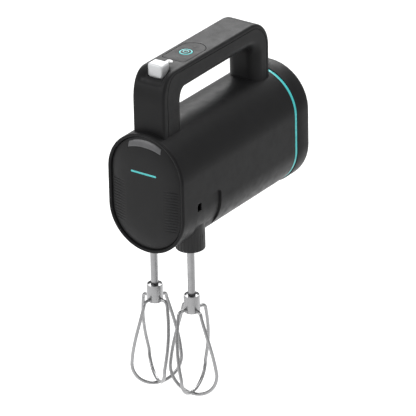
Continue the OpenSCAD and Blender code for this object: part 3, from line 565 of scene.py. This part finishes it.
def lever_outline(g=0.0, top=0.0):
    """Front view of the lever's head, x and z, with its lower corners rounded."""
    r = LEVER_HI[0] + g
    z0 = HANDLE_TOP - 7.6 - g
    z1 = LEVER_HI[2] + top
    c = 3 + g
    e = 2.2
    low = np.concatenate([arc(-r + c, z0 + c, c, 180, 270, 8), arc(r - c, z0 + c, c, 270, 360, 8)])
    if top:
        return np.concatenate([low, [(r, z1), (-r, z1)]])
    return np.concatenate([low, arc(r - e, z1 - e, e, 0, 90, 8), arc(-r + e, z1 - e, e, 90, 180, 8)])


def lever_slot():
    """Plan of the slot that the lever moves in, a gap wider than the lever all round."""
    r, y0, y1, c = LEVER_HI[0] + GAP, LEVER_LO[1] - GAP, LEVER_HI[1] + GAP, 2.2
    corners = [(r - c, y1 - c, 0), (-r + c, y1 - c, 90), (-r + c, y0 + c, 180), (r - c, y0 + c, 270)]
    return np.concatenate([arc(x, y, c, a, a + 90, 6) for x, y, a in corners])


def handle_cover_piece(material):
    """The outer cover, open where the rocker and the lever sit."""
    points, faces = loft(handle_rings("cover"))
    obj = piece("grip_cover", points, faces, material, "housing", "handle_black", ["handle_cover"], smooth=30)
    cut(obj, tool(*prism(rocker_outline(GAP), HANDLE_TOP - 12, HANDLE_TOP + 5, 2)), 30)
    cut(obj, tool(*prism(lever_slot(), HANDLE_TOP - 16, HANDLE_TOP + 9, 2)), 30)
    return obj


def handle_shell_piece(material):
    """The inner shell that the fingers close on."""
    points, faces = loft(handle_rings("shell"))
    nodes = ["handle_shell"]
    return piece("grip_shell", points, faces, material, "housing", "handle_black", nodes, smooth=30)


# ---------------------------------------------------------------- controls


def plate(name, outline, z0, z1, edge, hole=None):
    """A flat plate between z0 and z1 with rounded edges, from its plan outline."""
    loops = [outline] + ([hole] if hole is not None else [])
    curve = bpy.data.curves.new(name, "CURVE")
    curve.dimensions = "2D"
    curve.fill_mode = "BOTH"
    for loop in loops:
        spline = curve.splines.new("POLY")
        spline.points.add(len(loop) - 1)
        spline.use_cyclic_u = True
        for point, (x, y) in zip(spline.points, loop):
            point.co = (x * MM, y * MM, 0, 1)
    curve.extrude = (z1 - z0) / 2 * MM - edge * MM
    curve.bevel_depth = edge * MM
    curve.bevel_resolution = 3
    curve.offset = -edge * MM
    source = bpy.data.objects.new(name, curve)
    bpy.context.scene.collection.objects.link(source)
    bpy.context.view_layer.update()
    graph = bpy.context.evaluated_depsgraph_get()
    mesh = bpy.data.meshes.new_from_object(source.evaluated_get(graph))
    bpy.data.objects.remove(source)
    mesh.transform(Matrix.Translation((0, 0, (z0 + z1) / 2 * MM)))
    obj = bpy.data.objects.new(name, mesh)
    bpy.context.scene.collection.objects.link(obj)
    return obj


def rocker(material):
    """The speed rocker: a flush plate around the power button."""
    top = HANDLE_TOP
    mid = (BUTTON_LO[1] + BUTTON_HI[1]) / 2
    ring = LIGHT_HI[0] + GAP
    obj = plate("rocker_plate", rocker_outline(), top - 2.2, top, 0.35, arc(0, mid, ring, 360, 9, 39))
    obj.data.transform(Matrix.Translation(Vector(ORIGIN)))
    tidy(obj)
    return dress(obj, material, "rocker", ["speed_rocker"])


def lathe(name, profile, x, y, material, body, slot, nodes, steps=64, smooth=32):
    """A turned piece about an upright axis, from (radius, height) points."""
    a = np.linspace(0, 2 * math.pi, steps, endpoint=False)
    rings = [np.stack([x + r * np.cos(a), y + r * np.sin(a), 0 * a + z], 1) for r, z in profile]
    return piece(name, *loft(rings, caps=False), material, body, slot, nodes, smooth=smooth)


def button(material):
    """The power button: a shallow dish with a rounded rim."""
    y = (BUTTON_LO[1] + BUTTON_HI[1]) / 2
    r, top = BUTTON_HI[0], BUTTON_HI[2]
    profile = [(0, top - 3.3), (r, top - 3.3), (r, top - 0.5), (r - 0.15, top - 0.15), (r - 0.5, top)]
    profile += [(r - 1.1, top - 0.03), (r * 0.5, top - 0.04), (0, top - 0.04)]
    foot = BUTTON_LO[2] + 0.06
    stem = [(0, foot), (1.6, foot), (1.6, top - 3.3)]
    return lathe("button_cap", stem + profile[1:], 0, y, material, "button", "body_black", ["power_button"])


def light_pipe(material):
    """The ring of light around the button."""
    y = (BUTTON_LO[1] + BUTTON_HI[1]) / 2
    r0, r1, z0, z1 = BUTTON_HI[0] + 0.1, LIGHT_HI[0], LIGHT_LO[2], LIGHT_HI[2]
    profile = [(r0, z0), (r0, z1 - 0.15), (r0 + 0.2, z1), (r1 - 0.3, z1), (r1, z1 - 0.25), (r1, z0), (r0, z0)]
    return lathe("light_pipe", profile, 0, y, material, "housing", "accent_teal", ["light_ring"])


def lever(material):
    """The eject lever: a soft-edged silver cap over the handle's front corner."""
    y0, y1 = LEVER_LO[1], LEVER_HI[1]
    outline = lever_outline()
    obj = plate("lever_cap", outline, -(y1 - y0) / 2, (y1 - y0) / 2, 1.9)
    obj.data.transform(Matrix.Rotation(math.radians(90), 4, "X"))
    obj.data.transform(Matrix.Translation(Vector(ORIGIN) + Vector((0, (y0 + y1) / 2 * MM, 0))))
    tidy(obj)
    dress(obj, material, "ejector", ["eject_lever"])
    foot = [(-4, y0 + 2), (4, y0 + 2), (4, y1 - 1), (-4, y1 - 1)]
    base = tool(*prism(foot, LEVER_LO[2], HANDLE_TOP - 4, 2))
    cut(obj, base, 32, "UNION")
    return obj


# ---------------------------------------------------------------- beaters


def turret(side, material):
    """A fluted socket turret under the body."""
    node = side + "_turret"
    lo, hi = size(node)
    x, y = (lo[0] + hi[0]) / 2, (lo[1] + hi[1]) / 2
    r = (hi[0] - lo[0]) / 2
    z0, z1 = lo[2], hi[2]
    flutes, per = 24, 12
    a = np.linspace(0, 2 * math.pi, flutes * per, endpoint=False)
    wave = np.clip(np.cos(a * flutes) - 0.35, 0, 1) / 0.65
    key = np.exp(-((((a - math.radians(236)) + math.pi) % (2 * math.pi) - math.pi) / 0.05) ** 2)
    fade = lambda z: float(ease((z0 + 17 - z) / 2)) * float(ease((z - z0 - 0.4) / 0.8))
    profile = [(5.5, z0 + 3), (5.4, z0 + 0.3), (5.7, z0)]
    profile += [(r - 1.0, z0), (r - 0.4, z0 + 0.12), (r - 0.1, z0 + 0.4)]
    profile += [(r, z0 + z) for z in (0.9, 1.3, 3, 6, 9, 12, 14, 15, 16, 17)]
    profile += [(r, z1), (r - 2.4, z1), (r - 2.4, z0 + 3)]
    rings = []
    for radius, z in profile:
        cutback = (0.38 * wave + 0.9 * key) * fade(z) if radius > r - 0.2 else 0
        rr = radius - cutback
        rings.append(np.stack([x + rr * np.cos(a), y + rr * np.sin(a), 0 * a + z], 1))
    name = side + "_socket"
    return piece(name, *loft(rings, close=True), material, "housing", "inner_plastic", [node], smooth=40)


def collar(side, material):
    """The beater's collar: a thin cup around the stem."""
    node = side + "_collar"
    lo, hi = size(node)
    x, y = (lo[0] + hi[0]) / 2, (lo[1] + hi[1]) / 2
    r = (hi[0] - lo[0]) / 2
    z0, z1 = lo[2], hi[2]
    stem = 3.3
    profile = [(0, z0), (r - 1.2, z0), (r - 0.5, z0 + 0.15), (r - 0.15, z0 + 0.5)]
    profile += [(r, z0 + 1.1), (r, z1 - 0.3)]
    profile += [(r - 0.2, z1), (r - 0.7, z1), (r - 0.9, z1 - 0.25), (r - 1.0, z1 - 1.1), (r - 1.4, z1 - 1.5)]
    profile += [(stem, z1 - 1.5), (stem, z0 + 1), (0, z0 + 1)]
    return lathe(node + "_cup", profile, x, y, material, side + "_beater", "beater_steel", [node], 72)


def wires(side, belly, hand, material):
    """A beater's two closed wire loops, each a round tube along its own curve."""
    node = side + "_wire_loops"
    lo, _ = size(node)
    clo, chi = size(side + "_collar")
    x, y = (clo[0] + chi[0]) / 2, (clo[1] + chi[1]) / 2
    d = WIRE_D
    out = []
    collar_r = (chi[0] - clo[0]) / 2
    link = clo[2] + 3
    shoulder, wide = SHOULDER_R, CAGE_R - d / 2
    belly_z = lo[2] + BELLY_RISE
    twist = WIRE_TWIST
    for i in (0, 1):
        low = lo[2] + d / 2 + i * (d + 0.2)
        half = [(collar_r - 1.5, link), (collar_r + 1, link)]
        turns = np.radians(range(90, -1, -15))
        half += [(shoulder - 4 + 4 * math.cos(a), link - 4 + 4 * math.sin(a)) for a in turns]
        z0 = link - 4
        for t in np.linspace(0, 1, 14)[1:-1]:
            half.append((shoulder + (wide - shoulder) * math.sin(math.pi / 2 * t), z0 + (belly_z - z0) * t))
        turns = np.radians(range(0, 90, 6))
        half += [(wide * math.cos(a), belly_z - (belly_z - low) * math.sin(a)) for a in turns]

        def at(p, start):
            turn = hand * twist * min(max((z0 - p[1]) / (z0 - belly_z), 0), 1)
            b = math.radians(start + turn)
            return (x + p[0] * math.cos(b), y + p[0] * math.sin(b), p[1])

        start = belly - hand * twist + 90 * i
        path = [at(p, start) for p in half] + [(x, y, low)] + [at(p, start + 180) for p in half[::-1]]
        out.append(tube(f"{side}_wire_{i + 1}", path, d / 2))
    obj = out[0]
    bpy.context.view_layer.update()
    joined = bmesh.new()
    for o in out:
        joined.from_mesh(o.data)
    joined.to_mesh(obj.data)
    joined.free()
    bpy.data.objects.remove(out[1])
    obj.name = side + "_whisk"
    return dress(obj, material, side + "_beater", [node], 60)


def tube(name, path, radius, sides=14):
    """A round tube along a smooth curve through points."""
    curve = bpy.data.curves.new(name, "CURVE")
    curve.dimensions = "3D"
    curve.bevel_depth = radius * MM
    curve.bevel_resolution = (sides - 4) // 2
    curve.use_fill_caps = True
    curve.twist_mode = "MINIMUM"
    spline = curve.splines.new("POLY")
    spline.points.add(len(path) - 1)
    for point, co in zip(spline.points, place(path)):
        point.co = (*co, 1)
    source = bpy.data.objects.new(name, curve)
    bpy.context.scene.collection.objects.link(source)
    bpy.context.view_layer.update()
    graph = bpy.context.evaluated_depsgraph_get()
    mesh = bpy.data.meshes.new_from_object(source.evaluated_get(graph))
    bpy.data.objects.remove(source)
    obj = bpy.data.objects.new(name, mesh)
    bpy.context.scene.collection.objects.link(obj)
    tidy(obj)
    return obj


# ---------------------------------------------------------------- materials


class Graph:
    """A material's node tree, with short calls for the nodes that the finishes share."""

    def __init__(self, name):
        self.material = bpy.data.materials.new(name)
        self.material.use_nodes = True
        self.nodes = self.material.node_tree.nodes
        self.links = self.material.node_tree.links
        self.shader = self.nodes["Principled BSDF"]
        self.coords = self.nodes.new("ShaderNodeTexCoord").outputs["Object"]

    def link(self, a, b):
        self.links.new(a, b)

    def noise(self, grain, detail=3.0, rough=0.55, stretch=None):
        """Noise with a grain given in millimetres, stretched along an axis if asked."""
        node = self.nodes.new("ShaderNodeTexNoise")
        node.inputs["Scale"].default_value = 1 / (grain * MM)
        node.inputs["Detail"].default_value = detail
        node.inputs["Roughness"].default_value = rough
        source = self.coords
        if stretch:
            mapping = self.nodes.new("ShaderNodeMapping")
            mapping.inputs["Scale"].default_value = stretch
            self.link(source, mapping.inputs["Vector"])
            source = mapping.outputs["Vector"]
        self.link(source, node.inputs["Vector"])
        return node.outputs["Fac"]

    def speckle(self, grain):
        """Small round cells, as left by spark erosion."""
        node = self.nodes.new("ShaderNodeTexVoronoi")
        node.inputs["Scale"].default_value = 1 / (grain * MM)
        self.link(self.coords, node.inputs["Vector"])
        return node.outputs["Distance"]

    def range(self, value, lo, hi, from_lo=0.3, from_hi=0.7):
        """Maps a value to a range of numbers."""
        node = self.nodes.new("ShaderNodeMapRange")
        node.inputs["From Min"].default_value = from_lo
        node.inputs["From Max"].default_value = from_hi
        node.inputs["To Min"].default_value = lo
        node.inputs["To Max"].default_value = hi
        self.link(value, node.inputs["Value"])
        return node.outputs["Result"]

    def mix(self, factor, a, b):
        """Mixes two colours by a factor socket."""
        node = self.nodes.new("ShaderNodeMix")
        node.data_type = "RGBA"
        self.link(factor, node.inputs["Factor"])
        for socket, value in ((node.inputs[6], a), (node.inputs[7], b)):
            if isinstance(value, tuple):
                socket.default_value = (*value, 1)
            else:
                self.link(value, socket)
        return node.outputs[2]

    def add(self, a, b):
        """Sum of two sockets."""
        node = self.nodes.new("ShaderNodeMath")
        node.operation = "ADD"
        self.link(a, node.inputs[0])
        self.link(b, node.inputs[1])
        return node.outputs[0]

    def bump(self, height, strength, depth):
        """Fine relief of a depth in millimetres."""
        node = self.nodes.new("ShaderNodeBump")
        node.inputs["Strength"].default_value = strength
        node.inputs["Distance"].default_value = depth * MM
        self.link(height, node.inputs["Height"])
        self.link(node.outputs["Normal"], self.shader.inputs["Normal"])

    def edges(self, lo=0.52, hi=0.62):
        """How convex the surface is, for paler edges: wear, and on the black body also a painted highlight.
        """
        node = self.nodes.new("ShaderNodeNewGeometry")
        return self.range(node.outputs["Pointiness"], 0, 1, lo, hi)

    def set(self, **values):
        for key, value in values.items():
            self.shader.inputs[key.replace("_", " ")].default_value = value


def shade(color, factor):
    return tuple(min(1.0, c * factor) for c in color)


def moulded(name, color, rough, grain=0.45, relief=0.05, specular=0.4, wear_and_highlight=1.6):
    """Moulded plastic with an eroded grain, soft blotches and paler edges: partly wear, partly a painted
    highlight where they are made very pale.
    """
    g = Graph(name)
    blotch = g.noise(14, 4)
    tint = g.mix(g.range(blotch, 0, 1), shade(color, 0.86), shade(color, 1.16))
    fine = g.mix(g.range(g.noise(0.9, 2), 0, 1), shade(color, 0.92), shade(color, 1.1))
    both = g.nodes.new("ShaderNodeMix")
    both.data_type = "RGBA"
    both.inputs["Factor"].default_value = 0.45
    g.link(tint, both.inputs[6])
    g.link(fine, both.inputs[7])
    # paler edges: wear, and where wear_and_highlight is large (the black body) a painted highlight along
    # edges such as the scoops' rear edge
    g.link(g.mix(g.edges(), both.outputs[2], shade(color, wear_and_highlight)), g.shader.inputs["Base Color"])
    g.link(g.range(g.noise(7, 5), rough - 0.06, rough + 0.07), g.shader.inputs["Roughness"])
    g.bump(g.add(g.speckle(grain), g.noise(grain * 0.6, 2)), 0.35, relief)
    g.set(Specular_IOR_Level=specular)
    return g.material


def polished(name, color, rough, line=None):
    """Drawn or turned metal: fine lines, faint smudges and clean edges."""
    g = Graph(name)
    smudge = g.noise(9, 5)
    g.link(g.mix(g.range(smudge, 0, 1), shade(color, 0.9), shade(color, 1.06)), g.shader.inputs["Base Color"])
    g.link(g.range(g.noise(2.2, 4), rough - 0.05, rough + 0.08), g.shader.inputs["Roughness"])
    g.bump(g.noise(0.5, 3, 0.6, line or (1, 1, 0.06)), 0.07, 0.015)
    g.set(Metallic=1.0)
    return g.material


def painted(name, color):
    """Silver paint on plastic: metal flakes under a soft clear coat."""
    g = Graph(name)
    flake = g.speckle(0.35)
    tint = g.mix(g.range(flake, 0, 1, 0.1, 0.8), shade(color, 1.05), shade(color, 0.9))
    worn = g.mix(g.edges(0.53, 0.6), tint, shade(color, 1.15))
    g.link(worn, g.shader.inputs["Base Color"])
    g.link(g.range(g.noise(3, 4), 0.32, 0.44), g.shader.inputs["Roughness"])
    g.bump(g.noise(0.4, 3), 0.15, 0.02)
    g.set(Metallic=0.35, Coat_Weight=0.3, Coat_Roughness=0.2)
    return g.material


def glossy(name, color, rough=0.22, painted_glow=0.0):
    """Clear-coated coloured plastic with a faint flow pattern and, if asked, a faint painted glow."""
    g = Graph(name)
    tint = g.mix(g.range(g.noise(6, 3), 0, 1), shade(color, 0.9), shade(color, 1.1))
    g.link(tint, g.shader.inputs["Base Color"])
    g.link(g.range(g.noise(2.5, 4), rough - 0.04, rough + 0.08), g.shader.inputs["Roughness"])
    g.bump(g.noise(1.6, 2), 0.08, 0.03)
    g.set(Coat_Weight=0.25, Coat_Roughness=0.12)
    # painted glow: the colour is also emitted, so the part lights up without being a lamp
    if painted_glow:
        g.set(Emission_Color=(*color, 1), Emission_Strength=painted_glow)
    return g.material


def printed(name, color):
    """A pad-printed mark: slightly uneven ink."""
    g = Graph(name)
    g.link(g.mix(g.range(g.noise(0.4, 3), 0, 1), shade(color, 0.85), color), g.shader.inputs["Base Color"])
    g.link(g.range(g.noise(1.0, 2), 0.45, 0.6), g.shader.inputs["Roughness"])
    g.bump(g.noise(0.3, 2), 0.1, 0.01)
    return g.material


def board(name):
    """A circuit board: green mask with faint copper tracks under it."""
    g = Graph(name)
    tracks = g.nodes.new("ShaderNodeTexBrick")
    tracks.inputs["Scale"].default_value = 260
    tracks.inputs["Color1"].default_value = (0.03, 0.24, 0.1, 1)
    tracks.inputs["Color2"].default_value = (0.04, 0.3, 0.13, 1)
    tracks.inputs["Mortar"].default_value = (0.1, 0.42, 0.16, 1)
    g.link(g.coords, tracks.inputs["Vector"])
    g.link(tracks.outputs["Color"], g.shader.inputs["Base Color"])
    g.link(g.range(g.noise(2, 3), 0.28, 0.42), g.shader.inputs["Roughness"])
    g.bump(tracks.outputs["Fac"], 0.2, 0.03)
    return g.material


FINISHES = {
    # edges much paler than on the other plastics: a painted highlight along the body's edges, such as the
    # scoops' bright rear edge, on top of wear
    "body_black": moulded("body_black", (0.012, 0.012, 0.0125), 0.4, specular=0.13, wear_and_highlight=2.6),
    "panel_black": moulded("panel_black", (0.014, 0.014, 0.0145), 0.44, grain=0.55, specular=0.2),
    "handle_black": moulded("handle_black", (0.014, 0.014, 0.0145), 0.42, grain=0.4, specular=0.14),
    "lens_smoke": glossy("lens_smoke", (0.1, 0.1, 0.105), 0.34),
    # the teal glows faintly: painted light on the accent band and the panel dash, which are no lamps
    "accent_teal": glossy("accent_teal", (0.055, 0.5, 0.5), 0.25, 0.12),
    "lever_silver": painted("lever_silver", (0.68, 0.69, 0.7)),
    "mark_white": printed("mark_white", (0.8, 0.8, 0.8)),
    "mark_dark": printed("mark_dark", (0.012, 0.01, 0.01)),
    "beater_steel": polished("beater_steel", (0.36, 0.36, 0.365), 0.24),
    "inner_steel": polished("inner_steel", (0.55, 0.55, 0.57), 0.34, (1, 0.06, 1)),
    "bush_brass": polished("bush_brass", (0.7, 0.5, 0.22), 0.38, (1, 1, 1)),
    "gear_nylon": moulded("gear_nylon", (0.75, 0.74, 0.68), 0.4, 0.3, 0.02, 0.5, 1.1),
    "frame_alloy": polished("frame_alloy", (0.5, 0.5, 0.52), 0.5, (1, 1, 1)),
    "inner_plastic": moulded("inner_plastic", (0.01, 0.01, 0.0105), 0.42, 0.35, 0.04),
    "board_green": board("board_green"),
    "cell_wrap": glossy("cell_wrap", (0.06, 0.18, 0.5), 0.3),
    "wire_red": moulded("wire_red", (0.4, 0.03, 0.03), 0.4, 0.3, 0.02),
}


def finish_cad_nodes():
    """Gives every CAD node that stays the detailed finish of its own slot."""
    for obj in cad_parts.values():
        for place_ in obj.material_slots:
            name = place_.material.name.split(".")[0] if place_.material else ""
            if name in FINISHES:
                place_.material = FINISHES[name]
            else:
                print("no finish for", obj.name, name)


# ---------------------------------------------------------------- stage


def area(name, at, aim, width, height, power, spread=180):
    """A soft light of a size in metres, turned towards a point."""
    lamp = bpy.data.lights.new(name, "AREA")
    lamp.shape = "RECTANGLE"
    lamp.size, lamp.size_y = width, height
    lamp.energy = power
    lamp.spread = math.radians(spread)
    obj = bpy.data.objects.new(name, lamp)
    bpy.context.scene.collection.objects.link(obj)
    obj.location = at
    obj.rotation_euler = (Vector(aim) - Vector(at)).to_track_quat("-Z", "Y").to_euler()
    return obj


def stage():
    """A plain pale floor, a little darker far to the right with painted shade, in a white studio."""
    floor_z = cad_box[0][2] - 0.3
    half = 6.0
    mesh = bpy.data.meshes.new("floor")
    corners = [(-half, -half, floor_z), (half, -half, floor_z), (half, half, floor_z), (-half, half, floor_z)]
    mesh.from_pydata(corners, [], [(0, 1, 2, 3)])
    floor = bpy.data.objects.new("floor", mesh)
    bpy.context.scene.collection.objects.link(floor)
    g = Graph("floor_white")
    split = g.nodes.new("ShaderNodeSeparateXYZ")
    g.link(g.coords, split.inputs[0])
    cloud = g.mix(g.range(g.noise(300, 2), 0, 1), (0.87, 0.87, 0.87), (0.9, 0.9, 0.9))
    # painted shade: the floor greys towards +x, both in its colour and in its faint glow
    tone = g.mix(g.range(split.outputs["X"], 0, 1, 0.3, 1.1), cloud, (0.6, 0.6, 0.6))
    g.link(tone, g.shader.inputs["Base Color"])
    g.link(tone, g.shader.inputs["Emission Color"])
    g.set(Roughness=0.9, Specular_IOR_Level=0.1, Emission_Strength=0.19)
    mesh.materials.append(g.material)

    world = bpy.data.worlds.new("studio")
    world.use_nodes = True
    world.node_tree.nodes["Background"].inputs["Color"].default_value = (1, 1, 1, 1)
    world.node_tree.nodes["Background"].inputs["Strength"].default_value = 0.55
    bpy.context.scene.world = world
    bpy.context.scene.view_settings.view_transform = "Standard"

    aim = (0, 0, -0.1)
    area("top_box", (0.1, 0.5, 1.7), aim, 1.8, 1.8, 26)
    area("key_left", (-1.3, -1.9, 0.9), aim, 1.5, 1.5, 16)
    area("side_right", (2.2, -0.3, 0.5), aim, 1.2, 1.6, 3)
    area("back_box", (-0.95, 1.35, 0.95), aim, 1.7, 0.9, 21)


def camera():
    """The camera of the studio view: a long lens, above and to the right of the front."""
    turn, lift, roll = math.radians(36.373), math.radians(25.315), math.radians(-1.618)
    distance = 3.8168
    right = Vector((math.cos(turn), math.sin(turn), 0))
    ahead = Vector((-math.sin(turn) * math.cos(lift), math.cos(turn) * math.cos(lift), -math.sin(lift)))
    up = right.cross(ahead)
    tilted = math.cos(roll) * right + math.sin(roll) * up
    raised = -math.sin(roll) * right + math.cos(roll) * up
    lens, sensor, pixels = 393.7, 36.0, 416
    focal = lens / sensor * pixels
    # the front frame's origin lies off the middle of the picture by these shares of its width
    off_x = (208 - 145.345) / focal
    off_y = (208 - 194.142) / focal
    spot = Vector(ORIGIN) - ahead * distance
    gaze = (ahead + off_x * tilted - off_y * raised).normalized()
    side = gaze.cross(raised).normalized()
    top = side.cross(gaze)
    data = bpy.data.cameras.new("camera")
    data.lens, data.sensor_width = lens, sensor
    data.clip_end = 30
    obj = bpy.data.objects.new("camera", data)
    bpy.context.scene.collection.objects.link(obj)
    basis = Matrix((side, top, -gaze)).transposed().to_4x4()
    obj.matrix_world = Matrix.Translation(spot) @ basis
    bpy.context.scene.camera = obj


# ---------------------------------------------------------------- the mixer

camera()
stage()
finish_cad_nodes()

sleeve(FINISHES["body_black"])
bezel(FINISHES["body_black"])
panel(FINISHES["panel_black"])
inlay("lens_crescent", lens_outline(0.0), -0.1, FINISHES["lens_smoke"], "lens_smoke", "indicator_lens")
inlay("accent_dash", dash_outline(0.0), 0.0, FINISHES["accent_teal"], "accent_teal", "panel_accent")
accent_band(FINISHES["accent_teal"])
end_cap(FINISHES["body_black"])
handle_cover_piece(FINISHES["handle_black"])
handle_shell_piece(FINISHES["handle_black"])
rocker(FINISHES["handle_black"])
button(FINISHES["body_black"])
light_pipe(FINISHES["accent_teal"])
lever(FINISHES["lever_silver"])
for side, belly, hand in (("left", 53, -1), ("right", 8, 1)):
    turret(side, FINISHES["inner_plastic"])
    collar(side, FINISHES["beater_steel"])
    wires(side, belly, hand, FINISHES["beater_steel"])
